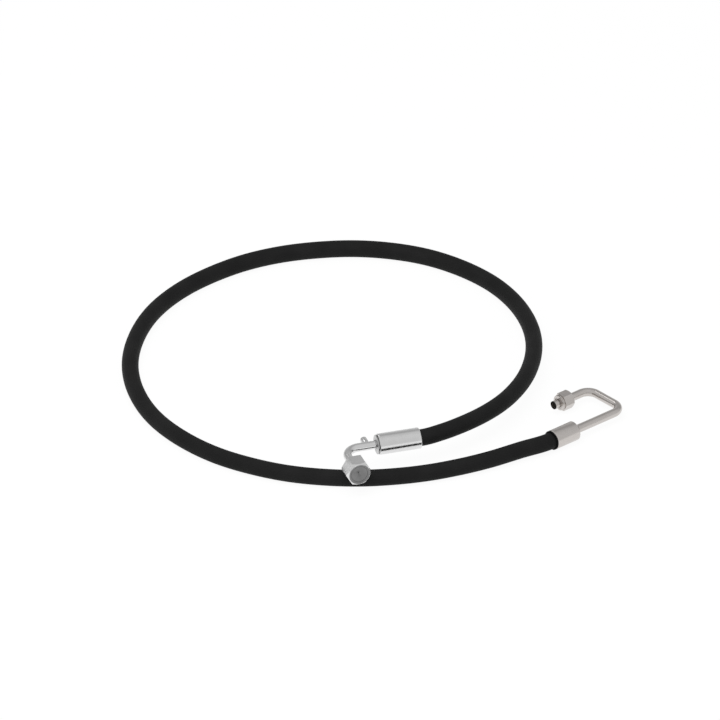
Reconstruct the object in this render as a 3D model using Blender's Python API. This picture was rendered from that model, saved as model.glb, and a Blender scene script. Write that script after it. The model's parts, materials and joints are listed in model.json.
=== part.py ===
"""Hydraulic hose assembly: a stiff two-wire hose lying in one open loop, with a swivel elbow
crimped on one end and a bent tube with a male tube nut crimped on the other.

Each fitting is drawn along its own axis, as distances from the mouth of its ferrule, from the
front of its nut or from the tip of its tube, and an empty puts that axis in its place.
"""
import math

import bmesh
import bpy
from mathutils import Matrix, Vector

MM = 0.001

# Clearance between pieces that touch, clamp or are brazed together
CLEAR = 0.3 * MM

# Hose layers, from the bore outwards
HOSE_BORE = 9.5 * MM
LINER_WALL = 1.5 * MM
BRAID_WALL = 0.6 * MM
PLY_RUBBER_WALL = 0.4 * MM
COVER_WALL = 0.8 * MM
HOSE_SIDES = 10
HOSE_STEP_DIAMETERS = 2.5

# Hose insert, the same section in both ends
BARB_HEIGHT = 0.5 * MM
BARB_PITCH = 5.5 * MM
BARB_DROP = 0.6 * MM
STEM_WALL = 1.1 * MM
STEM_SETBACK = 4.0 * MM
STOP_STEP = 0.85 * MM
STOP_THICKNESS = 2.0 * MM
NECK_WALL = 1.5 * MM

# Steel tubes
TUBE_OD = 10.0 * MM
TUBE_WALL = 1.5 * MM
BEND_STEP = math.radians(11.0)
TUBE_RESOLUTION = 6

# Elbow end
ELBOW_HEADING = math.radians(196.4)
ELBOW_OVER_HOSE = 12.3 * MM
ELBOW_FERRULE_WALL = 2.35 * MM
ELBOW_FERRULE_LENGTH = 52.6 * MM
ELBOW_FERRULE_CHAMFER = 3.0 * MM
ELBOW_LIP = 6.0 * MM
ELBOW_STRAIGHT = 21.5 * MM
ELBOW_BEND_RADIUS = 17.0 * MM
ELBOW_BEND = math.radians(92.85)
DROP_STRAIGHT = 39.8 * MM
PEG_DIAMETER = 8.6 * MM
PEG_LENGTH = 10.0 * MM
PEG_FROM_BEND = 10.7 * MM

# Swivel nut, pulled back on the elbow tube, and the nipple with the dished seat inside it
SWIVEL_BORE = 20.4 * MM
SWIVEL_WALL = 3.5 * MM
SWIVEL_LENGTH = 20.0 * MM
SWIVEL_MOUTH_WIDTH = 2.3 * MM
SWIVEL_FACE_STEP = 0.7 * MM
SWIVEL_FACE_LAND = 0.4 * MM
SWIVEL_CHAMFER_ANGLE = math.radians(45.0)
SWIVEL_BACK_WALL = 5.1 * MM
SWIVEL_PULL_BACK = 6.4 * MM
SEAT_HALF_ANGLE = math.radians(60.0)
SEAT_RIM = 0.4 * MM
SEAT_BORE = 2.6 * MM
SEAT_FLOOR = 2.0 * MM
NIPPLE_GAP = 0.5 * MM
NIPPLE_SOCKET = 8.5 * MM
NIPPLE_NECK_WALL = 1.0 * MM

# Bent tube end
TUBE_HEADING = math.radians(39.7)
TUBE_FERRULE_WALL = 1.45 * MM
TUBE_FERRULE_LENGTH = 34.3 * MM
TUBE_FERRULE_CHAMFER = 2.0 * MM
TUBE_LIP = 3.5 * MM
MOUTH_RING_LENGTH = 2.0 * MM
MOUTH_RING_STEP = 0.1 * MM
TUBE_STRAIGHT = 57.75 * MM
BACK_STRAIGHT = 29.8 * MM
RETURN_STRAIGHT = 41.0 * MM
TUBE_BEND_RADIUS = 14.0 * MM
FIRST_BEND = math.radians(94.0)
SECOND_BEND = math.radians(86.0)

# Tube nut, its thrust sleeve and the seal on the tip
TIP_SEAL_LENGTH = 0.9 * MM
TIP_SEAL_EDGE = 0.3 * MM
TIP_REACH = 8.1 * MM
THREAD_WALL = 2.25 * MM
THREAD_LENGTH = 2.6 * MM
UNDERCUT_DEPTH = 0.4 * MM
UNDERCUT_WIDTH = 0.6 * MM
HEX_SHOULDER = 0.65 * MM
TUBE_NUT_HEX = 13.1 * MM
TUBE_NUT_EDGE = 0.8 * MM
SLEEVE_WALL = 0.75 * MM
SLEEVE_LENGTH = 4.8 * MM

# Finish of edges
FERRULE_CHAMFER = 0.8 * MM
HEX_CHAMFER_ANGLE = math.radians(30.0)
HEX_FACE_SHARE = 0.95
TURNED_SIDES = 24
PEG_SIDES = 16
CUT_OVERRUN = 1.0 * MM

# Where the two ferrule mouths are, and the hose route between them: x, y and lift off the floor
ELBOW_MOUTH = (-72.53 * MM, -26.59 * MM)
TUBE_MOUTH = (81.87 * MM, 1.21 * MM)
HOSE_LEAD = 3.0 * MM
HOSE_ROUTE_MM = (
    (-46, -13.4, 22.1), (-24, 2.6, 21.8), (1, 26.2, 20.8), (24, 57, 18.8), (44, 99, 15.9),
    (57, 151, 11.8), (60, 211, 7.3), (51, 266, 3.5), (34, 311, 1.2), (12, 346, 0), (-25, 381, 0),
    (-65, 405, 0), (-106, 418, 0), (-148, 423, 0), (-190, 420, 0), (-231, 411, 0),
    (-272, 394, 0), (-311, 368, 0), (-348, 333, 0), (-381, 284, 0), (-401, 227, 0),
    (-408, 172, 0), (-402, 114, 0), (-379, 51, 0), (-345, 4, 0), (-307, -30, 0),
    (-267, -53, 0), (-226, -68.8, 0), (-185, -77, 0), (-145, -79.5, 0), (-102, -75.8, 0),
    (-65, -68.1, 0), (-28, -55.5, 0), (8, -40.1, 0.6), (45, -19.4, 1.1),
)

# Sizes that follow from the ones above
LINER_RADIUS = HOSE_BORE / 2 + LINER_WALL
INNER_BRAID_RADIUS = LINER_RADIUS + CLEAR + BRAID_WALL
PLY_RUBBER_RADIUS = INNER_BRAID_RADIUS + CLEAR + PLY_RUBBER_WALL
OUTER_BRAID_RADIUS = PLY_RUBBER_RADIUS + CLEAR + BRAID_WALL
HOSE_RADIUS = OUTER_BRAID_RADIUS + CLEAR + COVER_WALL
BARB_RADIUS = HOSE_BORE / 2 * math.cos(math.pi / HOSE_SIDES) - CLEAR
STEM_BORE_RADIUS = BARB_RADIUS - BARB_HEIGHT - STEM_WALL
STOP_RADIUS = HOSE_RADIUS - STOP_STEP
TUBE_RADIUS = TUBE_OD / 2
ROUND_SHARE = math.cos(math.pi / TURNED_SIDES)
SOCKET_RADIUS = (TUBE_RADIUS + CLEAR) / ROUND_SHARE
NECK_RADIUS = SOCKET_RADIUS + NECK_WALL
LIP_RADIUS = (NECK_RADIUS + CLEAR) / ROUND_SHARE
FERRULE_BORE_RADIUS = (HOSE_RADIUS + CLEAR) / ROUND_SHARE
ELBOW_FERRULE_RADIUS = HOSE_RADIUS + CLEAR + ELBOW_FERRULE_WALL
TUBE_FERRULE_RADIUS = HOSE_RADIUS + CLEAR + TUBE_FERRULE_WALL
ELBOW_AXIS_HEIGHT = 2 * HOSE_RADIUS + ELBOW_OVER_HOSE


def clear_scene():
    for item in list(bpy.data.objects):
        bpy.data.objects.remove(item, do_unlink=True)


def finish(name, colour, roughness, metallic):
    material = bpy.data.materials.new(name)
    material.use_nodes = True
    shader = material.node_tree.nodes["Principled BSDF"]
    shader.inputs["Base Color"].default_value = (*colour, 1.0)
    shader.inputs["Roughness"].default_value = roughness
    shader.inputs["Metallic"].default_value = metallic
    return material


def link(name, data, parent):
    item = bpy.data.objects.new(name, data)
    bpy.context.scene.collection.objects.link(item)
    item.parent = parent
    return item


def axis_empty(name, origin, direction):
    """An empty whose +Z runs along a level direction, with +Y straight up."""
    along = Vector(direction).normalized()
    up = Vector((0, 0, 1))
    side = up.cross(along)
    empty = link(name, None, None)
    turn = Matrix((side, up, along)).transposed().to_4x4()
    empty.matrix_world = Matrix.Translation(origin) @ turn
    return empty


def heading(angle):
    return Vector((math.cos(angle), math.sin(angle), 0))


def turned(name, profile, parent, material, sides=TURNED_SIDES):
    """A closed outline of (radius, distance along the axis) turned once around +Z."""
    mesh = bpy.data.meshes.new(name)
    shape = bmesh.new()
    points = [shape.verts.new((radius, 0, along)) for radius, along in profile]
    ends = points[1:] + points[:1]
    edges = [shape.edges.new(pair) for pair in zip(points, ends)]
    bmesh.ops.spin(
        shape, geom=points + edges, axis=(0, 0, 1), angle=2 * math.pi, steps=sides, use_merge=True
    )
    bmesh.ops.remove_doubles(shape, verts=shape.verts, dist=0.001 * MM)
    flat = [edge for edge in shape.edges if not edge.link_faces]
    bmesh.ops.delete(shape, geom=flat, context="EDGES")
    bmesh.ops.recalc_face_normals(shape, faces=shape.faces)
    shape.to_mesh(mesh)
    shape.free()
    mesh.shade_smooth()
    mesh.set_sharp_from_angle(angle=math.radians(35))
    mesh.materials.append(material)
    return link(name, mesh, parent)


def hex_prism(name, across_flats, length, parent):
    """A guide bar of hexagon section along +Z, with flats up and down."""
    mesh = bpy.data.meshes.new(name)
    shape = bmesh.new()
    corner = across_flats / math.sqrt(3)
    steps = [math.radians(60 * k) for k in range(6)]
    ring = [shape.verts.new((corner * math.cos(a), corner * math.sin(a), 0)) for a in steps]
    base = shape.faces.new(ring)
    lifted = bmesh.ops.extrude_face_region(shape, geom=[base])["geom"]
    moved = [item for item in lifted if isinstance(item, bmesh.types.BMVert)]
    bmesh.ops.translate(shape, verts=moved, vec=(0, 0, length))
    bmesh.ops.recalc_face_normals(shape, faces=shape.faces)
    shape.to_mesh(mesh)
    shape.free()
    return guide(link(name, mesh, parent))


def guide(item):
    item.hide_render = True
    item.display_type = "WIRE"
    return item


def cut(item, tool, operation):
    modifier = item.modifiers.new(operation.lower(), "BOOLEAN")
    modifier.operation = operation
    modifier.solver = "EXACT"
    modifier.object = tool


def hex_nut(name, profile, across_flats, parent, material):
    """A turned nut outline brought down to a hexagon where it is wider than its flats."""
    nut = turned(name, profile, parent, material)
    low = min(along for radius, along in profile)
    high = max(along for radius, along in profile)
    bar = hex_prism(name + "_bar", across_flats, high - low + 2 * CUT_OVERRUN, parent)
    bar.location = (0, 0, low - CUT_OVERRUN)
    cut(nut, bar, "INTERSECT")
    return nut


def hex_ends(across_flats):
    """Radius of the flat end face, radius past the corners, and how far the chamfer runs back."""
    face = HEX_FACE_SHARE * across_flats / 2
    past = across_flats / math.sqrt(3) + CLEAR
    return face, past, (past - face) * math.tan(HEX_CHAMFER_ANGLE)


def pipe(name, points, radius, wall, resolution, material):
    """A hollow tube along a line of points: a bevelled curve with its wall turned inwards."""
    curve = bpy.data.curves.new(name, "CURVE")
    curve.dimensions = "3D"
    curve.twist_mode = "Z_UP"
    curve.bevel_depth = radius
    curve.bevel_resolution = resolution
    curve.use_fill_caps = False
    spline = curve.splines.new("POLY")
    spline.points.add(len(points) - 1)
    for point, place in zip(spline.points, points):
        point.co = (*place, 1.0)
    spline.use_smooth = True
    curve.materials.append(material)
    item = link(name, curve, None)
    shell = item.modifiers.new("wall", "SOLIDIFY")
    shell.thickness = wall
    shell.offset = -1.0
    shell.use_even_offset = True
    return item


def bent_line(start, corners, end, radius):
    """Points of a level line from start to end that rounds each corner at the bend radius."""
    stops = [Vector(start)] + [Vector(corner) for corner in corners] + [Vector(end)]
    points = [stops[0]]
    for before, corner, after in zip(stops, stops[1:], stops[2:]):
        arriving = (corner - before).normalized()
        leaving = (after - corner).normalized()
        turn = arriving.angle(leaving)
        tangent = corner - arriving * radius * math.tan(turn / 2)
        inward = (leaving - arriving * arriving.dot(leaving)).normalized()
        steps = max(2, round(turn / BEND_STEP))
        for step in range(steps + 1):
            angle = turn * step / steps
            along = arriving * radius * math.sin(angle)
            points.append(tangent + along + inward * radius * (1 - math.cos(angle)))
    return points + [stops[-1]]


def barbs(first, last):
    """Saw-tooth outline of a hose insert between two distances from the ferrule mouth."""
    count = int((last - first) / BARB_PITCH)
    outline = [(BARB_RADIUS - BARB_HEIGHT, first)]
    for tooth in range(count):
        top = first + (tooth + 1) * BARB_PITCH
        outline.append((BARB_RADIUS, top - BARB_DROP))
        outline.append((BARB_RADIUS - BARB_HEIGHT, top))
    return outline


def ferrule_outline(radius, length, lip, far_chamfer):
    return [
        (radius - FERRULE_CHAMFER, 0),
        (radius, FERRULE_CHAMFER),
        (radius, length - far_chamfer),
        (radius - far_chamfer, length),
        (LIP_RADIUS, length),
        (LIP_RADIUS, length - lip),
        (FERRULE_BORE_RADIUS, length - lip),
        (FERRULE_BORE_RADIUS, 0),
    ]


def stop_span(length, lip):
    """Where the hose stop of an insert starts and ends, just inside the lip of its ferrule."""
    high = length - lip - CLEAR
    return high - STOP_THICKNESS, high


def hose_end(length, lip):
    return stop_span(length, lip)[0] - CLEAR


def socket_floor(length, lip):
    return stop_span(length, lip)[0] + CLEAR


def insert_outline(length, lip):
    """Outline of a hose insert from its nose to the face that the steel tube enters."""
    low, high = stop_span(length, lip)
    floor = socket_floor(length, lip)
    nose = [(STEM_BORE_RADIUS, STEM_SETBACK)]
    shank = [(BARB_RADIUS - BARB_HEIGHT, low), (STOP_RADIUS, low), (STOP_RADIUS, high)]
    neck = [(NECK_RADIUS, high), (NECK_RADIUS, length), (SOCKET_RADIUS, length)]
    bore = [(SOCKET_RADIUS, floor), (STEM_BORE_RADIUS, floor)]
    return nose + barbs(STEM_SETBACK, low - CLEAR) + shank + neck + bore


def elbow_end(steel):
    axis = heading(ELBOW_HEADING)
    mouth = Vector((*ELBOW_MOUTH, ELBOW_AXIS_HEIGHT))
    frame = axis_empty("elbow_axis", mouth, axis)
    outline = ferrule_outline(
        ELBOW_FERRULE_RADIUS, ELBOW_FERRULE_LENGTH, ELBOW_LIP, ELBOW_FERRULE_CHAMFER
    )
    turned("elbow_ferrule", outline, frame, steel)
    turned("elbow_stem", insert_outline(ELBOW_FERRULE_LENGTH, ELBOW_LIP), frame, steel)

    leg = ELBOW_BEND_RADIUS * math.tan(ELBOW_BEND / 2)
    corner = mouth + axis * (ELBOW_FERRULE_LENGTH + ELBOW_STRAIGHT + leg)
    facing = heading(ELBOW_HEADING + ELBOW_BEND)
    front = corner + facing * (leg + DROP_STRAIGHT)
    swivel = axis_empty("swivel_axis", front, -facing)
    socket = swivel_nut(swivel, steel)
    inside = mouth + axis * (socket_floor(ELBOW_FERRULE_LENGTH, ELBOW_LIP) + CLEAR)
    line = bent_line(inside, [corner], front - facing * (socket + CLEAR), ELBOW_BEND_RADIUS)
    pipe("elbow_tube", line, TUBE_RADIUS, TUBE_WALL, TUBE_RESOLUTION, steel)
    outward = heading(ELBOW_HEADING - math.pi / 2)
    locating_peg(corner - axis * (leg + PEG_FROM_BEND), outward, axis, steel)


def locating_peg(root, outward, along, steel):
    frame = axis_empty("peg_axis", root, outward)
    radius = PEG_DIAMETER / 2
    edge = FERRULE_CHAMFER
    foot = TUBE_RADIUS - radius
    top = TUBE_RADIUS + PEG_LENGTH
    outline = [(0, foot), (radius, foot), (radius, top - edge), (radius - edge, top), (0, top)]
    peg = turned("locating_peg", outline, frame, steel, sides=PEG_SIDES)
    saddle_axis = axis_empty("saddle_axis", root - along * PEG_DIAMETER, along)
    span = 2 * PEG_DIAMETER
    bar = [(0, 0), (SOCKET_RADIUS, 0), (SOCKET_RADIUS, span), (0, span)]
    cut(peg, guide(turned("saddle_bar", bar, saddle_axis, steel)), "DIFFERENCE")


def swivel_nut(frame, steel):
    """The nut, the nipple inside it, and how far back the tube socket of the nipple starts."""
    bore = SWIVEL_BORE / 2
    flats = SWIVEL_BORE + 2 * SWIVEL_WALL
    shoulder = SWIVEL_LENGTH - SWIVEL_BACK_WALL
    neck = SOCKET_RADIUS + NIPPLE_NECK_WALL
    neck_bore = (neck + CLEAR) / ROUND_SHARE
    face, past, run = hex_ends(flats)
    mouth = SWIVEL_MOUTH_WIDTH / math.tan(SEAT_HALF_ANGLE)
    front = flats / 2 - SWIVEL_FACE_STEP
    slope = (past - front) * math.tan(SWIVEL_CHAMFER_ANGLE)
    outline = [
        (front, 0),
        (front, SWIVEL_FACE_LAND),
        (past, SWIVEL_FACE_LAND + slope),
        (past, SWIVEL_LENGTH - run),
        (face, SWIVEL_LENGTH),
        (neck_bore, SWIVEL_LENGTH),
        (neck_bore, shoulder),
        (bore, shoulder),
        (bore, mouth),
        (bore + SWIVEL_MOUTH_WIDTH, 0),
    ]
    hex_nut("swivel_nut", outline, flats, frame, steel)

    head = bore - NIPPLE_GAP
    back = shoulder - SWIVEL_PULL_BACK
    socket = back + CLEAR
    seat = SEAT_BORE / 2
    dish_floor = back - SEAT_FLOOR
    rim = dish_floor - (head - SEAT_RIM - seat) / math.tan(SEAT_HALF_ANGLE)
    outline = [
        (head - SEAT_RIM, rim),
        (head, rim),
        (head, back),
        (neck, back),
        (neck, socket + NIPPLE_SOCKET),
        (SOCKET_RADIUS, socket + NIPPLE_SOCKET),
        (SOCKET_RADIUS, socket),
        (seat, socket),
        (seat, dish_floor),
    ]
    turned("seat_nipple", outline, frame, steel)
    return socket


def tube_end(steel, rubber):
    axis = heading(TUBE_HEADING)
    mouth = Vector((*TUBE_MOUTH, TUBE_FERRULE_RADIUS))
    frame = axis_empty("tube_axis", mouth, axis)
    outline = ferrule_outline(
        TUBE_FERRULE_RADIUS, TUBE_FERRULE_LENGTH, TUBE_LIP, TUBE_FERRULE_CHAMFER
    )
    turned("tube_ferrule", outline, frame, steel)
    turned("tube_stem", insert_outline(TUBE_FERRULE_LENGTH, TUBE_LIP), frame, steel)
    ring = TUBE_FERRULE_RADIUS - MOUTH_RING_STEP
    outline = [
        (FERRULE_BORE_RADIUS, -CLEAR - MOUTH_RING_LENGTH),
        (FERRULE_BORE_RADIUS, -CLEAR),
        (ring, -CLEAR),
        (ring, -MOUTH_RING_LENGTH),
        (ring - CLEAR, -CLEAR - MOUTH_RING_LENGTH),
    ]
    turned("mouth_ring", outline, frame, rubber)

    first_leg = TUBE_BEND_RADIUS * math.tan(FIRST_BEND / 2)
    second_leg = TUBE_BEND_RADIUS * math.tan(SECOND_BEND / 2)
    first = mouth + axis * (TUBE_FERRULE_LENGTH + TUBE_STRAIGHT + first_leg)
    back_run = first_leg + BACK_STRAIGHT + second_leg
    second = first + heading(TUBE_HEADING + FIRST_BEND) * back_run
    facing = heading(TUBE_HEADING + FIRST_BEND + SECOND_BEND)
    tip = second + facing * (second_leg + RETURN_STRAIGHT)
    open_end = tip - facing * (TIP_SEAL_LENGTH + CLEAR)
    inside = mouth + axis * (socket_floor(TUBE_FERRULE_LENGTH, TUBE_LIP) + CLEAR)
    line = bent_line(inside, [first, second], open_end, TUBE_BEND_RADIUS)
    pipe("bent_tube", line, TUBE_RADIUS, TUBE_WALL, TUBE_RESOLUTION, steel)
    tube_nut(axis_empty("tube_nut_axis", tip, -facing), steel, rubber)


def tube_nut(frame, steel, rubber):
    bore = TUBE_RADIUS - TUBE_WALL
    outline = [(bore, 0), (bore, TIP_SEAL_LENGTH), (TUBE_RADIUS, TIP_SEAL_LENGTH)]
    edge = TIP_SEAL_EDGE
    turned("tip_seal", outline + [(TUBE_RADIUS, edge), (TUBE_RADIUS - edge, 0)], frame, rubber)

    sleeve = SOCKET_RADIUS + SLEEVE_WALL
    low = TIP_REACH + CLEAR
    high = low + SLEEVE_LENGTH
    outline = [(SOCKET_RADIUS, low), (SOCKET_RADIUS, high), (sleeve, high), (sleeve, low)]
    turned("thrust_sleeve", outline, frame, steel)

    counterbore = (sleeve + CLEAR) / ROUND_SHARE
    root = counterbore + THREAD_WALL
    thread = root + UNDERCUT_DEPTH
    flats = 2 * (thread + HEX_SHOULDER)
    relief = TIP_REACH + THREAD_LENGTH
    hex_front = relief + UNDERCUT_WIDTH
    hex_back = hex_front + TUBE_NUT_HEX
    face, past, run = hex_ends(flats)
    outline = [
        (root, TIP_REACH),
        (thread, TIP_REACH + UNDERCUT_DEPTH),
        (thread, relief),
        (root, relief),
        (root, hex_front),
        (past - TUBE_NUT_EDGE, hex_front),
        (past, hex_front + TUBE_NUT_EDGE),
        (past, hex_back - run),
        (face, hex_back),
        (SOCKET_RADIUS, hex_back),
        (SOCKET_RADIUS, high + CLEAR),
        (counterbore, high + CLEAR),
        (counterbore, TIP_REACH),
    ]
    hex_nut("tube_nut", outline, flats, frame, steel)


def smooth_line(points, start_slope, end_slope, per_span=12):
    """Points of a smooth curve through the given ones, with set directions at both ends."""
    slopes = [start_slope]
    for before, here, after in zip(points, points[1:], points[2:]):
        one = (here - before).length
        two = (after - here).length
        turn = ((here - before) * (two / one) + (after - here) * (one / two)) / (one + two)
        slopes.append(turn)
    slopes.append(end_slope)
    line = [points[0]]
    for k in range(len(points) - 1):
        span = (points[k + 1] - points[k]).length
        for step in range(1, per_span + 1):
            t = step / per_span
            ease = t * t * (3 - 2 * t)
            place = points[k] * (1 - ease) + points[k + 1] * ease
            place += slopes[k] * span * (t * (1 - t) * (1 - t))
            line.append(place - slopes[k + 1] * span * (t * t * (1 - t)))
    return line


def evenly_spaced(line, step):
    """The same line with points about one step apart, ends kept, and its length."""
    lengths = [0.0]
    for before, after in zip(line, line[1:]):
        lengths.append(lengths[-1] + (after - before).length)
    count = round(lengths[-1] / step)
    spaced = []
    k = 0
    for index in range(count + 1):
        want = lengths[-1] * index / count
        while k < len(line) - 2 and lengths[k + 1] < want:
            k += 1
        share = (want - lengths[k]) / (lengths[k + 1] - lengths[k])
        spaced.append(line[k].lerp(line[k + 1], share))
    return spaced, lengths[-1]


def least_self_gap(line):
    """Least clear distance between stretches of hose that are not neighbours along it."""
    skip = 5
    gaps = [
        (line[i] - line[j]).length
        for i in range(len(line))
        for j in range(i + skip, len(line))
    ]
    return min(gaps) - 2 * HOSE_RADIUS


def hose(rubber, liner, wire):
    elbow_axis = heading(ELBOW_HEADING)
    tube_axis = heading(TUBE_HEADING)
    start = Vector((*ELBOW_MOUTH, ELBOW_AXIS_HEIGHT))
    end = Vector((*TUBE_MOUTH, TUBE_FERRULE_RADIUS))
    middle = [Vector((x * MM, y * MM, HOSE_RADIUS + lift * MM)) for x, y, lift in HOSE_ROUTE_MM]
    first = start - elbow_axis * HOSE_LEAD
    last = end - tube_axis * HOSE_LEAD
    free = smooth_line([first] + middle + [last], -elbow_axis, tube_axis)
    spaced, length = evenly_spaced(free, HOSE_STEP_DIAMETERS * 2 * HOSE_RADIUS)
    elbow_inside = start + elbow_axis * hose_end(ELBOW_FERRULE_LENGTH, ELBOW_LIP)
    tube_inside = end + tube_axis * hose_end(TUBE_FERRULE_LENGTH, TUBE_LIP)
    points = [elbow_inside, start] + spaced + [end, tube_inside]
    hidden = (elbow_inside - start).length + (tube_inside - end).length
    print("hose between the ferrules, m:", round(length + 2 * HOSE_LEAD, 4))
    print("hose cut length, m:", round(length + 2 * HOSE_LEAD + hidden, 4))
    print("least gap of the hose to itself, mm:", round(least_self_gap(spaced) / MM, 1))
    resolution = HOSE_SIDES // 2 - 2
    layers = (
        ("hose_cover", HOSE_RADIUS, COVER_WALL, rubber),
        ("outer_braid", OUTER_BRAID_RADIUS, BRAID_WALL, wire),
        ("ply_rubber", PLY_RUBBER_RADIUS, PLY_RUBBER_WALL, liner),
        ("inner_braid", INNER_BRAID_RADIUS, BRAID_WALL, wire),
        ("inner_tube", LINER_RADIUS, LINER_WALL, liner),
    )
    for name, radius, wall, material in layers:
        pipe(name, points, radius, wall, resolution, material)


def build():
    clear_scene()
    bright = finish("zinc_plated_steel", (0.56, 0.56, 0.56), 0.3, 1.0)
    warm = finish("nickel_plated_steel", (0.45, 0.43, 0.41), 0.35, 1.0)
    wire = finish("brassed_wire", (0.42, 0.36, 0.24), 0.4, 1.0)
    cover = finish("black_cover_rubber", (0.015, 0.015, 0.015), 0.6, 0.0)
    liner = finish("black_liner_rubber", (0.012, 0.012, 0.012), 0.5, 0.0)
    hose(cover, liner, wire)
    elbow_end(bright)
    tube_end(warm, cover)
    bpy.context.view_layer.update()


build()
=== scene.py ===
# %% [markdown]
# # A hydraulic hose with two crimped ends
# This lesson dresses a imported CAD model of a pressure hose: black rubber with steel wire inside, a
# bright elbow with a swivel nut on one end and a bent-back steel tube with a small nut on the other.
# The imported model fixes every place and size, so each piece here is made where its CAD node is, only
# finer: rounder, with eased edges, cut threads and real finishes.

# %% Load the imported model
import json
import math

import bpy
from mathutils import Matrix, Vector


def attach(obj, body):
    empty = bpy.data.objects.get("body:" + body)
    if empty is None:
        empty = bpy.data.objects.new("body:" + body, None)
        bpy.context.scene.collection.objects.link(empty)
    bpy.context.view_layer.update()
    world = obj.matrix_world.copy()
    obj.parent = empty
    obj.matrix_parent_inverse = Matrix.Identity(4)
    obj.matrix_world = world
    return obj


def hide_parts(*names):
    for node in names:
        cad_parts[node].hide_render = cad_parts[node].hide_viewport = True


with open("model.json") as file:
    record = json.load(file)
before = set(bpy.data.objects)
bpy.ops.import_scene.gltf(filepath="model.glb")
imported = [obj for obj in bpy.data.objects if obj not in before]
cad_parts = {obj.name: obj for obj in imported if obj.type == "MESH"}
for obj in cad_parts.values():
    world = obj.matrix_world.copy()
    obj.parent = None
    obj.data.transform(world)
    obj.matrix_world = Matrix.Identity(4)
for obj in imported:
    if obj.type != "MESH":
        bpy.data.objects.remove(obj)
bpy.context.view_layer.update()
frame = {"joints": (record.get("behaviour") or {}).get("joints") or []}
MM = 0.001
UP = Vector((0, 0, 1))

# %% [markdown]
# ## Camera
# Catalogue pictures like this one are taken from far away with a long lens, so parallel lines stay
# parallel. An orthographic camera gives that directly. It looks level along +Y and 32 degrees down,
# and its span is the width of floor that the square picture shows.

# %% Camera
VIEW_ELEVATION = math.radians(32.0)
VIEW_SPAN = 0.8352
VIEW_CENTRE = Vector((-0.1414, 0.1950, 0.0))
VIEW_DISTANCE = 3.0

bpy.ops.object.select_all(action="DESELECT")
look_back = Vector((0, -math.cos(VIEW_ELEVATION), math.sin(VIEW_ELEVATION)))
bpy.ops.object.camera_add(
    location=VIEW_CENTRE + look_back * VIEW_DISTANCE,
    rotation=(math.pi / 2 - VIEW_ELEVATION, 0, 0),
)
camera = bpy.context.object
camera.data.type = "ORTHO"
camera.data.ortho_scale = VIEW_SPAN
bpy.context.scene.camera = camera
print("camera stands at", [round(c, 3) for c in camera.location])

# %% [markdown]
# ## The two axes that everything is set out from
# Both nuts turn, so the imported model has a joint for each, with a point and a direction. Every other
# place follows from these two lines and a few lengths: from the front of the swivel nut back to the
# elbow's corner and its ferrule, and from the tip of the bent tube back round its two bends.

# %% Axes of the fittings
ELBOW_FERRULE_LENGTH = 52.6
ELBOW_STRAIGHT = 21.5
ELBOW_BEND_RADIUS = 17.0
ELBOW_BEND = math.radians(92.85)
DROP_STRAIGHT = 39.8
TUBE_FERRULE_LENGTH = 34.3
TUBE_STRAIGHT = 57.75
BACK_STRAIGHT = 29.8
RETURN_STRAIGHT = 41.0
TUBE_BEND_RADIUS = 14.0
FIRST_BEND = math.radians(94.0)
SECOND_BEND = math.radians(86.0)


def joint_line(name):
    """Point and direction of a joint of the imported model."""
    joint = next(item for item in frame["joints"] if item["name"] == name)
    return Vector(joint["pos_m"]), Vector(joint["axis"]).normalized()


nut_front, nut_facing = joint_line("swivel_nut_spin")
tip_front, tip_facing = joint_line("tube_nut_spin")
elbow_axis = Matrix.Rotation(-ELBOW_BEND, 3, "Z") @ nut_facing
tube_axis = -tip_facing
elbow_leg = ELBOW_BEND_RADIUS * math.tan(ELBOW_BEND / 2)
elbow_corner = nut_front - nut_facing * (elbow_leg + DROP_STRAIGHT) * MM
elbow_mouth = elbow_corner - elbow_axis * (ELBOW_FERRULE_LENGTH + ELBOW_STRAIGHT + elbow_leg) * MM
first_leg = TUBE_BEND_RADIUS * math.tan(FIRST_BEND / 2)
second_leg = TUBE_BEND_RADIUS * math.tan(SECOND_BEND / 2)
back_axis = Matrix.Rotation(FIRST_BEND, 3, "Z") @ tube_axis
second_corner = tip_front - tip_facing * (RETURN_STRAIGHT + second_leg) * MM
first_corner = second_corner - back_axis * (first_leg + BACK_STRAIGHT + second_leg) * MM
tube_mouth = first_corner - tube_axis * (TUBE_FERRULE_LENGTH + TUBE_STRAIGHT + first_leg) * MM
print("elbow ferrule mouth in mm:", [round(c / MM, 1) for c in elbow_mouth])
print("tube ferrule mouth in mm:", [round(c / MM, 1) for c in tube_mouth])

# %% [markdown]
# ## Route of the hose
# The hose is 1.745 m long with its ends in the ferrules, and all that lies between them shows. It
# leaves the raised elbow, comes down on a long slope, lies on the floor round the loop and runs into
# the other ferrule. The route repeats the points of the CAD model as x, y and lift off the floor, in
# metres, and a smooth curve runs through them that is level and straight where it meets each ferrule.

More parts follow.
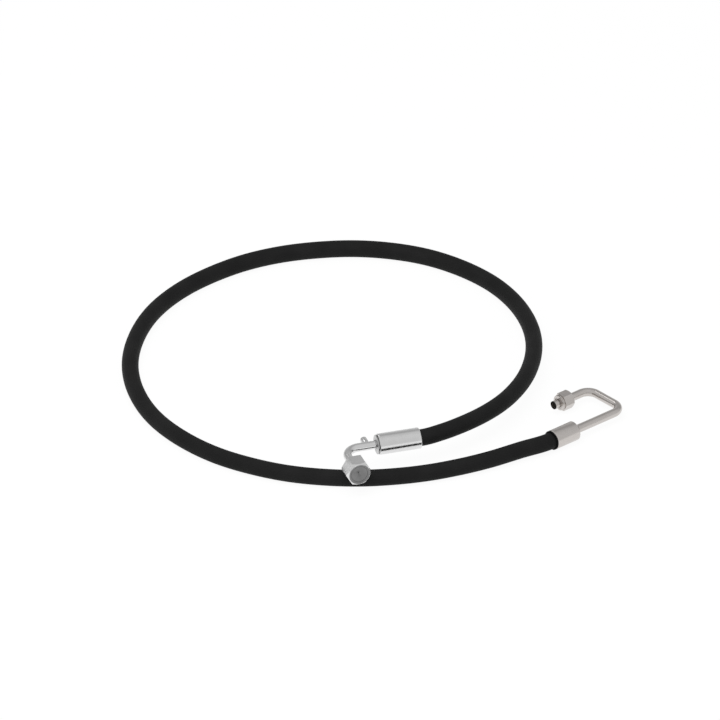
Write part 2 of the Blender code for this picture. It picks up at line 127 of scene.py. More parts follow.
# %% Points of the route
HOSE_RADIUS = 0.00985
HOSE_LEAD = 0.003
HOSE_HIDDEN = 0.022
HOSE_STEP = 0.004
HOSE_ROUTE = (
    (-0.046, -0.0134, 0.0221), (-0.024, 0.0026, 0.0218), (0.001, 0.0262, 0.0208),
    (0.024, 0.057, 0.0188), (0.044, 0.099, 0.0159), (0.057, 0.151, 0.0118), (0.060, 0.211, 0.0073),
    (0.051, 0.266, 0.0035), (0.034, 0.311, 0.0012), (0.012, 0.346, 0.0),
    (-0.025, 0.381, 0.0), (-0.065, 0.405, 0.0), (-0.106, 0.418, 0.0),
    (-0.148, 0.423, 0.0), (-0.190, 0.420, 0.0), (-0.231, 0.411, 0.0),
    (-0.272, 0.394, 0.0), (-0.311, 0.368, 0.0), (-0.348, 0.333, 0.0),
    (-0.381, 0.284, 0.0), (-0.401, 0.227, 0.0), (-0.408, 0.172, 0.0),
    (-0.402, 0.114, 0.0), (-0.379, 0.051, 0.0), (-0.345, 0.004, 0.0),
    (-0.307, -0.030, 0.0), (-0.267, -0.053, 0.0), (-0.226, -0.0688, 0.0),
    (-0.185, -0.077, 0.0), (-0.145, -0.0795, 0.0), (-0.102, -0.0758, 0.0),
    (-0.065, -0.0681, 0.0), (-0.028, -0.0555, 0.0), (0.008, -0.0401, 0.0006),
    (0.045, -0.0194, 0.0011),
)
highest_lift = max(lift for _, _, lift in HOSE_ROUTE)
print("route of", len(HOSE_ROUTE), "points, at most", highest_lift, "m off the floor")


# %% Line of the hose
def smooth_line(points, start_slope, end_slope, per_span=24):
    """Points of a smooth curve through the given ones, with set directions at both ends."""
    slopes = [start_slope]
    for before, here, after in zip(points, points[1:], points[2:]):
        one = (here - before).length
        two = (after - here).length
        turn = ((here - before) * (two / one) + (after - here) * (one / two)) / (one + two)
        slopes.append(turn)
    slopes.append(end_slope)
    line = [points[0]]
    for k in range(len(points) - 1):
        span = (points[k + 1] - points[k]).length
        for step in range(1, per_span + 1):
            t = step / per_span
            ease = t * t * (3 - 2 * t)
            place = points[k] * (1 - ease) + points[k + 1] * ease
            place += slopes[k] * span * (t * (1 - t) * (1 - t))
            line.append(place - slopes[k + 1] * span * (t * t * (1 - t)))
    return line


def evenly_spaced(line, step):
    """The same line with points about one step apart, and its whole length."""
    lengths = [0.0]
    for before, after in zip(line, line[1:]):
        lengths.append(lengths[-1] + (after - before).length)
    count = round(lengths[-1] / step)
    spaced = []
    k = 0
    for index in range(count + 1):
        want = lengths[-1] * index / count
        while k < len(line) - 2 and lengths[k + 1] < want:
            k += 1
        share = (want - lengths[k]) / (lengths[k + 1] - lengths[k])
        spaced.append(line[k].lerp(line[k + 1], share))
    return spaced, lengths[-1]


middle = [Vector((x, y, HOSE_RADIUS + lift)) for x, y, lift in HOSE_ROUTE]
lead_out = elbow_mouth - elbow_axis * HOSE_LEAD
lead_in = tube_mouth - tube_axis * HOSE_LEAD
free_line = smooth_line([lead_out] + middle + [lead_in], -elbow_axis, tube_axis)
hidden_start = elbow_mouth + elbow_axis * HOSE_HIDDEN
hidden_end = tube_mouth + tube_axis * HOSE_HIDDEN
hose_line, hose_drawn = evenly_spaced([hidden_start] + free_line + [hidden_end], HOSE_STEP)
print("hose line:", len(hose_line), "points,", round(hose_drawn, 3), "m")

# %% [markdown]
# ## Helpers for colour and nodes
# One function turns a colour written as sRGB hex into the linear numbers that Blender mixes light
# with, and one adds a shader node. Rubber and steel differ in their numbers more than in their make:
# both drift slowly between two tones, and both have a fine grain that makes them rougher here and
# smoother there. So a few functions build what they share, and each finish only says its own sizes.

# %% Colour and nodes
TONE_LOW = 0.3
TONE_HIGH = 0.7


def linear(hex_colour):
    """Linear RGBA of an sRGB hex colour."""
    parts = [int(hex_colour[k:k + 2], 16) / 255 for k in (1, 3, 5)]
    curve = [c / 12.92 if c <= 0.04045 else ((c + 0.055) / 1.055) ** 2.4 for c in parts]
    return (*curve, 1.0)


def add_node(tree, kind, settings=None, links=None):
    """Adds a node: settings are its options or socket values, links are outputs for its sockets."""
    made = tree.nodes.new(kind)
    for key, value in (settings or {}).items():
        if isinstance(key, str) and hasattr(made, key):
            setattr(made, key, value)
        else:
            made.inputs[key].default_value = value
    for key, output in (links or {}).items():
        tree.links.new(output, made.inputs[key])
    return made


def new_finish(name):
    """A new material, its node tree, its shader, and the bench places of the piece that wears it."""
    material = bpy.data.materials.new(name)
    material.use_nodes = True
    tree = material.node_tree
    bench = add_node(tree, "ShaderNodeAttribute", {"attribute_name": "bench"})
    return material, tree, tree.nodes["Principled BSDF"], bench.outputs["Vector"]


def drift_in_tone(tree, shader, bench, patch_mm, dark, pale):
    """Lets the base colour drift between two tones, in soft patches of about the given size."""
    patches = add_node(
        tree, "ShaderNodeTexNoise", {"Scale": 1 / (patch_mm * MM), "Detail": 3.0}, {"Vector": bench}
    )
    tone = add_node(tree, "ShaderNodeValToRGB", None, {"Fac": patches.outputs["Fac"]})
    for stop, position, colour in zip(tone.color_ramp.elements, (TONE_LOW, TONE_HIGH), (dark, pale)):
        stop.position = position
        stop.color = linear(colour)
    tree.links.new(tone.outputs["Color"], shader.inputs["Base Color"])


def fine_grain(tree, shader, noise, roughness, spread, strength, depth_mm):
    """Lets a fine noise drive the roughness, within a spread either way, and a shallow bump."""
    gloss = add_node(
        tree, "ShaderNodeMapRange", {"To Min": roughness - spread, "To Max": roughness + spread},
        {"Value": noise.outputs["Fac"]},
    )
    tree.links.new(gloss.outputs["Result"], shader.inputs["Roughness"])
    bump = add_node(
        tree, "ShaderNodeBump", {"Strength": strength, "Distance": depth_mm * MM},
        {"Height": noise.outputs["Fac"]},
    )
    tree.links.new(bump.outputs["Normal"], shader.inputs["Normal"])


print("mid grey in linear light:", round(linear("#808080")[0], 3))

# %% [markdown]
# ## Helpers for placing
# A piece is made at the origin, as on a bench, with Z along it. One function lays it into its place and
# leaves its object at the origin, unturned and unscaled. Before the piece moves, each of its points
# notes where it lay on the bench, and the finishes read their patterns from that note, so turning marks
# and drawing lines follow the work even after the piece is turned. Another function gives the piece its
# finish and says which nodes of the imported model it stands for.

# %% Placing
SMOOTH_DEGREES = 32.0
TUBE_SMOOTH_DEGREES = 40.0


def start_fresh():
    """Object mode with nothing selected, so that an operator acts on the next piece alone."""
    if bpy.context.object and bpy.context.object.mode != "OBJECT":
        bpy.ops.object.mode_set(mode="OBJECT")
    bpy.ops.object.select_all(action="DESELECT")


def only(piece):
    """Makes one piece the selected and active one."""
    start_fresh()
    piece.select_set(True)
    bpy.context.view_layer.objects.active = piece


def note_bench_place(piece, places):
    """Stores a place on the bench for each point of the piece, in metres."""
    note = piece.data.attributes.new("bench", "FLOAT_VECTOR", "POINT")
    for entry, place in zip(note.data, places):
        entry.vector = place


def level_frame(origin, along):
    """Matrix whose Z runs along a level direction, with Y straight up."""
    side = UP.cross(along)
    turn = Matrix((side, UP, along)).transposed().to_4x4()
    return Matrix.Translation(origin) @ turn


def lay_in_place(piece, place, smooth_degrees=SMOOTH_DEGREES):
    """Notes the bench places, moves the mesh to its place and smooths it where it is not sharp."""
    note_bench_place(piece, [vertex.co.copy() for vertex in piece.data.vertices])
    only(piece)
    piece.matrix_world = place
    bpy.ops.object.transform_apply(location=True, rotation=True, scale=True)
    bpy.ops.object.shade_smooth_by_angle(angle=math.radians(smooth_degrees))
    return piece


def dress(piece, finish, body, slot, *nodes):
    """Gives a piece its finish and body, and hides the CAD nodes that it stands for; slot is not used.
    """
    if not piece.data.materials:
        piece.data.materials.append(finish)
    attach(piece, body)
    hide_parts(*nodes)
    print(piece.name, "has", len(piece.data.polygons), "faces and stands for", ", ".join(nodes))


print("edges stay sharp over", SMOOTH_DEGREES, "degrees, and on tubes over", TUBE_SMOOTH_DEGREES)

# %% [markdown]
# ## Black rubber
# The cover of the hose is nitrile rubber cured under a cloth wrap, which leaves it matt, nearly black
# and very finely grained. Rubber has a low index, so it reflects little head on and more along its
# sides. The grain is drawn at 1.4 mm, coarser than the real cloth print, so that it shows at all, and a
# slow change in tone over a few centimetres keeps a long hose from looking painted.

# %% Rubber finishes
RUBBER_SHEEN = 0.08
RUBBER_PATCH = 28.0


def black_rubber(name, dark, pale, roughness, grain_mm, grain_depth_mm):
    """Cured black rubber with a fine grain, drawn on the bench places of the piece."""
    material, tree, shader, bench = new_finish(name)
    drift_in_tone(tree, shader, bench, RUBBER_PATCH, dark, pale)
    grain = add_node(
        tree, "ShaderNodeTexNoise", {"Scale": 1 / (grain_mm * MM), "Detail": 4.0, "Roughness": 0.6},
        {"Vector": bench},
    )
    fine_grain(tree, shader, grain, roughness, spread=0.08, strength=0.6, depth_mm=grain_depth_mm)
    shader.inputs["Specular IOR Level"].default_value = RUBBER_SHEEN
    return material


cover_rubber = black_rubber(
    "cloth_cured_nitrile_rubber", "#171717", "#1c1c1c",
    roughness=0.62, grain_mm=1.4, grain_depth_mm=0.12,
)
ring_rubber = black_rubber(
    "moulded_black_rubber", "#050505", "#080808",
    roughness=0.55, grain_mm=0.9, grain_depth_mm=0.05,
)
print("rubber finishes:", cover_rubber.name, ring_rubber.name)

# %% [markdown]
# ## The hose
# A hose is one round section carried along a line, so a curve with a bevel makes it in one step, and
# converting that curve gives a mesh tube. The points of the mesh come ring by ring, so each can be
# given the place it would have if the hose lay straight on a bench, and the grain follows the bends
# without stretching. Solidify turns the wall inwards, because a hose is hollow.

# %% Hose
HOSE_SIDES = 48
HOSE_WALL = 0.0051

start_fresh()
hose_curve = bpy.data.curves.new("hydraulic_hose", "CURVE")
hose_curve.dimensions = "3D"
hose_curve.twist_mode = "Z_UP"
hose_curve.bevel_depth = HOSE_RADIUS
hose_curve.bevel_resolution = HOSE_SIDES // 2 - 2
hose_curve.use_fill_caps = False
spline = hose_curve.splines.new("POLY")
spline.points.add(len(hose_line) - 1)
for point, place in zip(spline.points, hose_line):
    point.co = (*place, 1.0)
hose = bpy.data.objects.new("hydraulic_hose", hose_curve)
bpy.context.scene.collection.objects.link(hose)
only(hose)
bpy.ops.object.convert(target="MESH")
hose = bpy.context.object

ring_step = hose_drawn / (len(hose_line) - 1)
straight = []
for index in range(len(hose.data.vertices)):
    ring, side = divmod(index, HOSE_SIDES)
    angle = 2 * math.pi * side / HOSE_SIDES
    straight.append((HOSE_RADIUS * math.cos(angle), HOSE_RADIUS * math.sin(angle), ring * ring_step))
note_bench_place(hose, straight)
wall = hose.modifiers.new("wall", "SOLIDIFY")
wall.thickness = HOSE_WALL
wall.offset = -1.0
bpy.ops.object.modifier_apply(modifier="wall")
bpy.ops.object.shade_smooth_by_angle(angle=math.radians(TUBE_SMOOTH_DEGREES))
dress(
    hose, cover_rubber, "assembly", "cover_rubber",
    "hose_cover", "outer_braid", "ply_rubber", "inner_braid", "inner_tube",
)

# %% [markdown]
# ## Plated steel
# The elbow end is turned steel with bright zinc plate: neutral, nearly a mirror, with fine turning
# marks round it. The tube end has a satin zinc-nickel plate, which is warmer, greyer and softer in its
# reflections. Some places are duller: the rim of the elbow ferrule, and the seats and bores where the
# steel is left bare. The darker bare steel is also painted shade: in the elbow ferrule's groove, in the
# swivel nut's mouth and, darker and browner, in the bent tube's bore. On turned work the marks run
# round the axis, so the noise is stretched round it; on drawn tube they run along it, so the stretch
# goes the other way. Real marks are a few hundredths of a millimetre apart, far too fine to show, so
# they are drawn at about half a millimetre.

# %% Steel finishes
TURNED = (0.015, 0.015, 1.0)
DRAWN = (1.0, 1.0, 0.015)
STEEL_PATCH = 9.0
MARK_SPACING = 0.5
MARK_DEPTH = 0.0015
BRIGHT_ZINC = ("#dcdcdc", "#e2e2e2")
DULL_ZINC = ("#b6b6b6", "#bebebe")
SATIN_NICKEL = ("#c6c1bd", "#cac5c2")
# The two bare tones are also painted shade: the seat tone in the groove and the nut's mouth, the bore
# tone in the tube's bore.
BARE_SEAT_AND_PAINTED_SHADE = ("#787878", "#828282")
BARE_BORE_AND_PAINTED_SHADE = ("#8f8780", "#99918a")


def steel(name, tones, roughness, marks):
    """Plated or bare steel whose fine marks run round turned work or along drawn work."""
    material, tree, shader, bench = new_finish(name)
    shader.inputs["Metallic"].default_value = 1.0
    drift_in_tone(tree, shader, bench, STEEL_PATCH, *tones)
    stretch = add_node(tree, "ShaderNodeMapping", {"Scale": marks}, {"Vector": bench})
    lines = add_node(
        tree, "ShaderNodeTexNoise", {"Scale": 1 / (MARK_SPACING * MM), "Detail": 2.0},
        {"Vector": stretch.outputs["Vector"]},
    )
    fine_grain(tree, shader, lines, roughness, spread=0.05, strength=0.5, depth_mm=MARK_DEPTH)
    return material


zinc_turned = steel("bright_zinc_plate_turned", BRIGHT_ZINC, 0.20, TURNED)
zinc_drawn = steel("bright_zinc_plate_drawn", BRIGHT_ZINC, 0.17, DRAWN)
zinc_dull = steel("dull_zinc_plate_turned", DULL_ZINC, 0.22, TURNED)
nickel_turned = steel("satin_zinc_nickel_turned", SATIN_NICKEL, 0.22, TURNED)
nickel_drawn = steel("satin_zinc_nickel_drawn", SATIN_NICKEL, 0.22, DRAWN)
bare_steel_and_painted_shade = steel("bare_steel_seat_and_painted_shade", BARE_SEAT_AND_PAINTED_SHADE, 0.35, TURNED)
bare_bore_and_painted_shade = steel("bare_steel_tube_bore_and_painted_shade", BARE_BORE_AND_PAINTED_SHADE, 0.60, DRAWN)
print("zinc finishes:", zinc_turned.name, zinc_drawn.name, zinc_dull.name)
print("nickel finishes:", nickel_turned.name, nickel_drawn.name)
print("bare finishes:", bare_steel_and_painted_shade.name, bare_bore_and_painted_shade.name)

# %% [markdown]
# ## A lathe
# Ferrules, inserts, nipples and rings are all turned work, so one small lathe makes them. A point is
# walked round the outline by extruding it, a vertex bevel eases every corner of the outline at once,
# and Spin carries the outline round the Z axis. An outline that starts and ends on the axis makes a
# solid bar, and any other is closed into a ring.

# %% Lathe
LATHE_SIDES = 96
WELD = 0.001 * MM


def lathe(name, outline, ease=0.25, sides=LATHE_SIDES):
    """Turns an outline of (radius, distance along Z) points in mm, its corners eased, round Z."""
    closed = outline[0][0] > 0
    stops = list(outline) + list(outline[:1] if closed else [])
    start_fresh()
    bpy.ops.mesh.primitive_plane_add(size=MM)
    piece = bpy.context.object
    piece.name = name
    bpy.ops.object.mode_set(mode="EDIT")
    bpy.ops.mesh.select_all(action="SELECT")
    bpy.ops.mesh.merge(type="CENTER")
    bpy.ops.transform.translate(value=(stops[0][0] * MM, 0, stops[0][1] * MM))
    for (radius, along), (next_radius, next_along) in zip(stops, stops[1:]):
        step = ((next_radius - radius) * MM, 0, (next_along - along) * MM)
        bpy.ops.mesh.extrude_region_move(TRANSFORM_OT_translate={"value": step})
    bpy.ops.mesh.select_all(action="SELECT")
    bpy.ops.mesh.remove_doubles(threshold=WELD)
    if ease:
        bpy.ops.mesh.bevel(offset=ease * MM, segments=3, affect="VERTICES")
    bpy.ops.mesh.select_all(action="SELECT")
    bpy.ops.mesh.spin(steps=sides, angle=2 * math.pi, center=(0, 0, 0), axis=(0, 0, 1))
    bpy.ops.mesh.select_all(action="SELECT")
    bpy.ops.mesh.remove_doubles(threshold=WELD)
    bpy.ops.mesh.normals_make_consistent(inside=False)
    bpy.ops.object.mode_set(mode="OBJECT")
    return piece


print("the lathe turns", LATHE_SIDES, "sides")

# %% [markdown]
# ## Elbow ferrule and insert
# The ferrule is the smooth shell that is pressed onto the hose. Near its far end a narrow groove is
# turned, its faces given the darker seat steel as painted shade, its near edge is rolled over, and past
# it stands a slightly lower rim with a duller plate. The insert inside the ferrule comes out flush with
# that rim. The steel tube is brazed into the insert, so a small fillet of braze rounds the corner.

# %% Elbow ferrule
ELBOW_RADIUS = 12.5
FERRULE_BORE = 10.2
NECK_RADIUS = 7.0
LIP_RADIUS = 7.1
SOCKET_RADIUS = 5.35
EDGE = 0.8
ELBOW_GROOVE_RADIUS = 10.6
ELBOW_GROOVE = (2.2, 1.1)
ELBOW_ROLL = ((0.0, 1.2), (0.3, 0.5), (0.9, 0.0))
ELBOW_RIM_RADIUS = 11.5
ELBOW_LIP = 6.0
FILLET = 0.9

elbow_place = level_frame(elbow_mouth, elbow_axis)
elbow_end = ELBOW_FERRULE_LENGTH
groove_start, groove_end = (elbow_end - back for back in ELBOW_GROOVE)
elbow_shell = lathe("elbow_shell", [
    (FERRULE_BORE, 0), (ELBOW_RADIUS - EDGE, 0), (ELBOW_RADIUS, EDGE),
    *((ELBOW_RADIUS - drop, groove_start - back) for drop, back in ELBOW_ROLL),
    (ELBOW_GROOVE_RADIUS, groove_start), (ELBOW_GROOVE_RADIUS, groove_end),
    (ELBOW_RIM_RADIUS, groove_end), (ELBOW_RIM_RADIUS, elbow_end - EDGE / 2),
    (ELBOW_RIM_RADIUS - EDGE, elbow_end), (LIP_RADIUS, elbow_end),
    (LIP_RADIUS, elbow_end - ELBOW_LIP), (FERRULE_BORE, elbow_end - ELBOW_LIP),
], ease=0.1)
# The second finish, the darker steel, goes on the groove's faces as painted shade in the groove.
for finish in (zinc_turned, bare_steel_and_painted_shade, zinc_dull):
    elbow_shell.data.materials.append(finish)
for polygon in elbow_shell.data.polygons:
    along = polygon.center.z / MM
    out = Vector((polygon.center.x, polygon.center.y)).length / MM
    if along > groove_end:
        polygon.material_index = 2
    elif along >= groove_start and LIP_RADIUS + 1 < out < ELBOW_RADIUS - ELBOW_ROLL[-1][0]:
        polygon.material_index = 1
lay_in_place(elbow_shell, elbow_place)
dress(elbow_shell, zinc_turned, "assembly", "zinc_plated_steel", "elbow_ferrule")


# %% Elbow insert
def insert_end(name, end, depth):
    """The visible end of a hose insert, flush with its ferrule's end, with a fillet of braze."""
    return lathe(name, [
        (SOCKET_RADIUS, end - depth), (NECK_RADIUS, end - depth), (NECK_RADIUS, end),
        (SOCKET_RADIUS + FILLET, end), (SOCKET_RADIUS, end + FILLET),
    ], ease=0.1)


elbow_insert = insert_end("elbow_insert", elbow_end, ELBOW_LIP)
lay_in_place(elbow_insert, elbow_place)
dress(elbow_insert, zinc_dull, "assembly", "zinc_plated_steel", "elbow_stem")

# %% [markdown]
# ## Bent steel tubes
# A tube bender does just what the Extrude and Spin tools do: it feeds a straight length, swings the
# end round a former, and feeds again. So each tube starts as a circle, is extruded along a straight,
# spun round the centre of the bend and extruded on. Solidify then turns the wall inwards, and gives the
# bore the piece's second finish where it has one.

# %% Tube bender
TUBE_RADIUS = 5.0
TUBE_WALL = 1.5
TUBE_SIDES = 64
BEND_STEP = math.radians(4.0)


def bend_tube(name, start, heading, bend_radius, feeds):
    """A tube from start, fed along lengths in mm and swung by angles about Z between them."""
    start_fresh()
    bpy.ops.mesh.primitive_circle_add(vertices=TUBE_SIDES, radius=TUBE_RADIUS * MM)
    piece = bpy.context.object
    piece.name = name
    piece.matrix_world = level_frame(start, heading)
    bpy.ops.object.transform_apply(location=True, rotation=True, scale=True)
    bpy.ops.object.mode_set(mode="EDIT")
    bpy.ops.mesh.select_all(action="SELECT")
    here = start.copy()
    along = heading.copy()
    rings = [(here.copy(), along.copy())]
    for length, swing in feeds:
        step = along * length * MM
        bpy.ops.mesh.extrude_region_move(TRANSFORM_OT_translate={"value": step})
        here = here + step
        rings.append((here.copy(), along.copy()))
        if swing:
            centre = here + UP.cross(along) * bend_radius * MM
            steps = round(abs(swing) / BEND_STEP)
            bpy.ops.mesh.spin(steps=steps, angle=-swing, center=centre, axis=UP)
            for count in range(1, steps + 1):
                turn = Matrix.Rotation(swing * count / steps, 3, "Z")
                rings.append((centre + turn @ (here - centre), turn @ along))
            here, along = rings[-1][0].copy(), rings[-1][1].copy()
    bpy.ops.mesh.select_all(action="SELECT")
    bpy.ops.mesh.remove_doubles(threshold=WELD)
    bpy.ops.mesh.normals_make_consistent(inside=False)
    bpy.ops.object.mode_set(mode="OBJECT")
    return piece, rings


def finish_tube(piece, rings):
    """Notes each point's place along the straightened tube, then gives the tube its wall."""
    travelled = [0.0]
    for (before, _), (after, _) in zip(rings, rings[1:]):
        travelled.append(travelled[-1] + (after - before).length)
    places = []
    for vertex in piece.data.vertices:
        near = min(range(len(rings)), key=lambda k: (vertex.co - rings[k][0]).length)
        centre, along = rings[near]
        off = vertex.co - centre
        places.append((off.dot(UP.cross(along)), off.dot(UP), travelled[near]))
    note_bench_place(piece, places)
    only(piece)
    shell = piece.modifiers.new("wall", "SOLIDIFY")
    shell.thickness = TUBE_WALL * MM
    shell.offset = -1.0
    shell.material_offset = 1
    bpy.ops.object.modifier_apply(modifier="wall")
    bpy.ops.object.shade_smooth_by_angle(angle=math.radians(TUBE_SMOOTH_DEGREES))


print("tubes of", 2 * TUBE_RADIUS, "mm with a wall of", TUBE_WALL, "mm")

# %% [markdown]
# ## Elbow tube and its peg
# The elbow tube leaves the insert, turns a right angle and ends in the nipple of the swivel nut. A
# short round peg on its far side fits a notch beside the port, so that the elbow cannot turn when the
# nut is tightened. The peg's foot is sunk a little into the tube, as brazing leaves it.

# %% Elbow tube
TUBE_DEPTH = 5.0
NIPPLE_SOCKET_START = 8.8
NIPPLE_GAP = 0.3

tube_start = elbow_mouth + elbow_axis * (elbow_end - TUBE_DEPTH) * MM
elbow_pipe, elbow_rings = bend_tube("elbow_pipe", tube_start, elbow_axis, ELBOW_BEND_RADIUS, [
    (TUBE_DEPTH + ELBOW_STRAIGHT, ELBOW_BEND),
    (DROP_STRAIGHT - NIPPLE_SOCKET_START - NIPPLE_GAP, 0.0),
])
finish_tube(elbow_pipe, elbow_rings)
dress(elbow_pipe, zinc_drawn, "assembly", "zinc_plated_steel", "elbow_tube")

# %% Peg
PEG_RADIUS = 4.3
PEG_LENGTH = 10.0
PEG_FROM_BEND = 10.7
PEG_SINK = 1.2
PEG_SIDES = 48

peg_root = elbow_corner - elbow_axis * (elbow_leg + PEG_FROM_BEND) * MM
peg_top = TUBE_RADIUS + PEG_LENGTH
peg_foot = TUBE_RADIUS - PEG_SINK
elbow_peg = lathe("elbow_peg", [
    (0, peg_foot), (PEG_RADIUS, peg_foot), (PEG_RADIUS, peg_top - EDGE),
    (PEG_RADIUS - EDGE, peg_top), (0, peg_top),
], sides=PEG_SIDES)
lay_in_place(elbow_peg, level_frame(peg_root, elbow_axis.cross(UP)))
dress(elbow_peg, zinc_turned, "assembly", "zinc_plated_steel", "locating_peg")

# %% [markdown]
# ## Hexagon nuts
# A nut is turned first, with its chamfers, bore and thread, and its six flats are then milled. The
# same order works here: the lathe turns a round blank, the thread is cut by moving the rings of points
# in and out along a helix, and an Intersect with a six-sided bar, its long edges eased, leaves the
# flats and the curved line where each chamfer meets them.

# %% Nut maker
THREAD_PITCH = 1.5
THREAD_RINGS = 12
THREAD_FLAT = 0.1
THREAD_FADE = 0.4
THREAD_REACH = 0.05
HEX_CLEARANCE = 0.3
HEX_EASE = 0.35
NUT_SMOOTH_DEGREES = 12.0


def past_corners(across_flats):
    """Radius of a round blank that reaches a little past the corners of its hexagon."""
    return across_flats / math.sqrt(3) + HEX_CLEARANCE


def thread_stops(radius, start, stop):
    """Closely spaced outline points for a thread, from start to stop along the axis."""
    count = round(abs(stop - start) / THREAD_PITCH * THREAD_RINGS)
    return [(radius, start + (stop - start) * k / count) for k in range(count + 1)]


def cut_thread(piece, radius, start, stop, depth):
    """Moves the points of a threaded stretch in or out along a right-hand helix, easing at its ends."""
    for vertex in piece.data.vertices:
        around = Vector((vertex.co.x, vertex.co.y))
        along = vertex.co.z / MM
        if abs(around.length / MM - radius) > THREAD_REACH or not start <= along <= stop:
            continue
        turn = along / THREAD_PITCH - math.atan2(around.y, around.x) / (2 * math.pi)
        flank = abs(2 * (turn % 1.0) - 1)
        crest = min(1.0, max(0.0, (flank - THREAD_FLAT) / (1 - 2 * THREAD_FLAT)))
        fade = min(1.0, (along - start) / THREAD_FADE, (stop - along) / THREAD_FADE)
        around *= (radius - depth * crest * max(0.0, fade)) / radius
        vertex.co.x, vertex.co.y = around


def mill_flats(piece, across_flats, low, high):
    """Brings a turned blank down to a hexagon with flats up and down."""
    start_fresh()
    bpy.ops.mesh.primitive_cylinder_add(
        vertices=6, radius=across_flats / math.sqrt(3) * MM, depth=(high - low + 2) * MM,
        location=(0, 0, (low + high) / 2 * MM), rotation=(0, 0, math.pi / 2),
    )
    bar = bpy.context.object
    bpy.ops.object.transform_apply(location=True, rotation=True, scale=True)
    bpy.ops.object.mode_set(mode="EDIT")
    bpy.ops.mesh.select_all(action="DESELECT")
    bpy.ops.mesh.select_mode(type="EDGE")
    bpy.ops.object.mode_set(mode="OBJECT")
    for edge in bar.data.edges:
        first, second = (bar.data.vertices[k].co for k in edge.vertices)
        edge.select = abs(first.z - second.z) > MM
    bpy.ops.object.mode_set(mode="EDIT")
    bpy.ops.mesh.bevel(offset=HEX_EASE * MM, segments=3, affect="EDGES")
    bpy.ops.mesh.select_mode(type="VERT")
    bpy.ops.object.mode_set(mode="OBJECT")
    only(piece)
    mill = piece.modifiers.new("flats", "BOOLEAN")
    mill.operation = "INTERSECT"
    mill.solver = "EXACT"
    mill.object = bar
    bpy.ops.object.modifier_apply(modifier="flats")
    bpy.data.objects.remove(bar)


print("threads of", THREAD_PITCH, "mm pitch, drawn with", THREAD_RINGS, "rings a turn")

# %% [markdown]
# ## Swivel nut and seat nipple
# The swivel nut hangs loose on the elbow. Here it lies back, about 6 mm short of bearing on the head of
# the nipple inside it, whose dished face seals on the port. The threads and the seat stay bare, because
# plate would spoil the fit, and the inside of the mouth and the nipple are a darker steel than the
# outside: partly the bare steel and partly painted shade inside the mouth.

# %% Swivel nut
SWIVEL_FLATS = 27.4
SWIVEL_BORE_RADIUS = 10.2
SWIVEL_LENGTH = 20.0
SWIVEL_SHOULDER = 14.9
SWIVEL_NECK = 6.7
FRONT_RADIUS = 13.0
FRONT_LAND = 0.4
FRONT_CHAMFER = math.radians(45.0)
BACK_EDGE = 0.5
MOUTH_WIDTH = 2.5
MOUTH_DEPTH = 0.8
SWIVEL_THREAD_END = 8.0
SWIVEL_THREAD_DEPTH = 0.15
FINE_EDGE = 0.1
FACING_IN = -0.1

swivel_place = level_frame(nut_front, -nut_facing)
past = past_corners(SWIVEL_FLATS)
slope = (past - FRONT_RADIUS) * math.tan(FRONT_CHAMFER)
swivel_nut = lathe("hex_swivel_nut", [
    (FRONT_RADIUS - FINE_EDGE, 0), (FRONT_RADIUS, FINE_EDGE), (FRONT_RADIUS, FRONT_LAND),
    (past, FRONT_LAND + slope), (past, SWIVEL_LENGTH - BACK_EDGE),
    (past - 2 * BACK_EDGE, SWIVEL_LENGTH),
    (SWIVEL_NECK, SWIVEL_LENGTH), (SWIVEL_NECK, SWIVEL_SHOULDER),
    (SWIVEL_BORE_RADIUS, SWIVEL_SHOULDER),
    *thread_stops(SWIVEL_BORE_RADIUS, SWIVEL_THREAD_END, MOUTH_DEPTH),
    (SWIVEL_BORE_RADIUS + MOUTH_WIDTH, 0),
], ease=0)
cut_thread(swivel_nut, SWIVEL_BORE_RADIUS, MOUTH_DEPTH, SWIVEL_THREAD_END, SWIVEL_THREAD_DEPTH)
mill_flats(swivel_nut, SWIVEL_FLATS, 0, SWIVEL_LENGTH)
swivel_nut.data.materials.append(zinc_turned)
swivel_nut.data.materials.append(bare_steel_and_painted_shade)
# Inward faces within the mouth get the darker steel: bare steel and painted shade inside the mouth.
for polygon in swivel_nut.data.polygons:
    out = Vector((polygon.center.x, polygon.center.y))
    inward = polygon.normal.x * out.x + polygon.normal.y * out.y < FACING_IN * out.length
    polygon.material_index = int(inward and out.length < (SWIVEL_BORE_RADIUS + MOUTH_WIDTH) * MM)
lay_in_place(swivel_nut, swivel_place, NUT_SMOOTH_DEGREES)
dress(swivel_nut, zinc_turned, "elbow_nut", "zinc_plated_steel", "swivel_nut")

# %% Seat nipple
HEAD_RADIUS = 10.0
HEAD_RIM = 0.9
HEAD_BACK = 8.5
DISH_FLOOR = 3.9
SEAT_RADIUS = 0.45
NIPPLE_NECK = 6.35
NIPPLE_END = 17.3

# The nipple is all darker steel: bare steel and painted shade inside the nut's mouth.
seat_nipple = lathe("dished_seat_nipple", [
    (HEAD_RADIUS - FINE_EDGE, HEAD_RIM), (HEAD_RADIUS, HEAD_RIM + FINE_EDGE), (HEAD_RADIUS, HEAD_BACK),
    (NIPPLE_NECK, HEAD_BACK), (NIPPLE_NECK, NIPPLE_END), (SOCKET_RADIUS, NIPPLE_END),
    (SOCKET_RADIUS, NIPPLE_SOCKET_START), (SEAT_RADIUS, NIPPLE_SOCKET_START),
    (SEAT_RADIUS, DISH_FLOOR),
], ease=0.05)
lay_in_place(seat_nipple, swivel_place)
dress(seat_nipple, bare_steel_and_painted_shade, "assembly", "zinc_plated_steel", "seat_nipple")

# %% [markdown]
# ## Tube ferrule, insert and mouth ring
# The other ferrule is shorter and slimmer, with a broad chamfer where the steel tube leaves it. A black
# rubber ring closes its mouth round the hose.

# %% Tube ferrule and insert
TUBE_FERRULE_RADIUS = 11.6
TUBE_MOUTH_EDGE = 1.0
TUBE_FAR_EDGE = 2.0
TUBE_LIP = 3.5

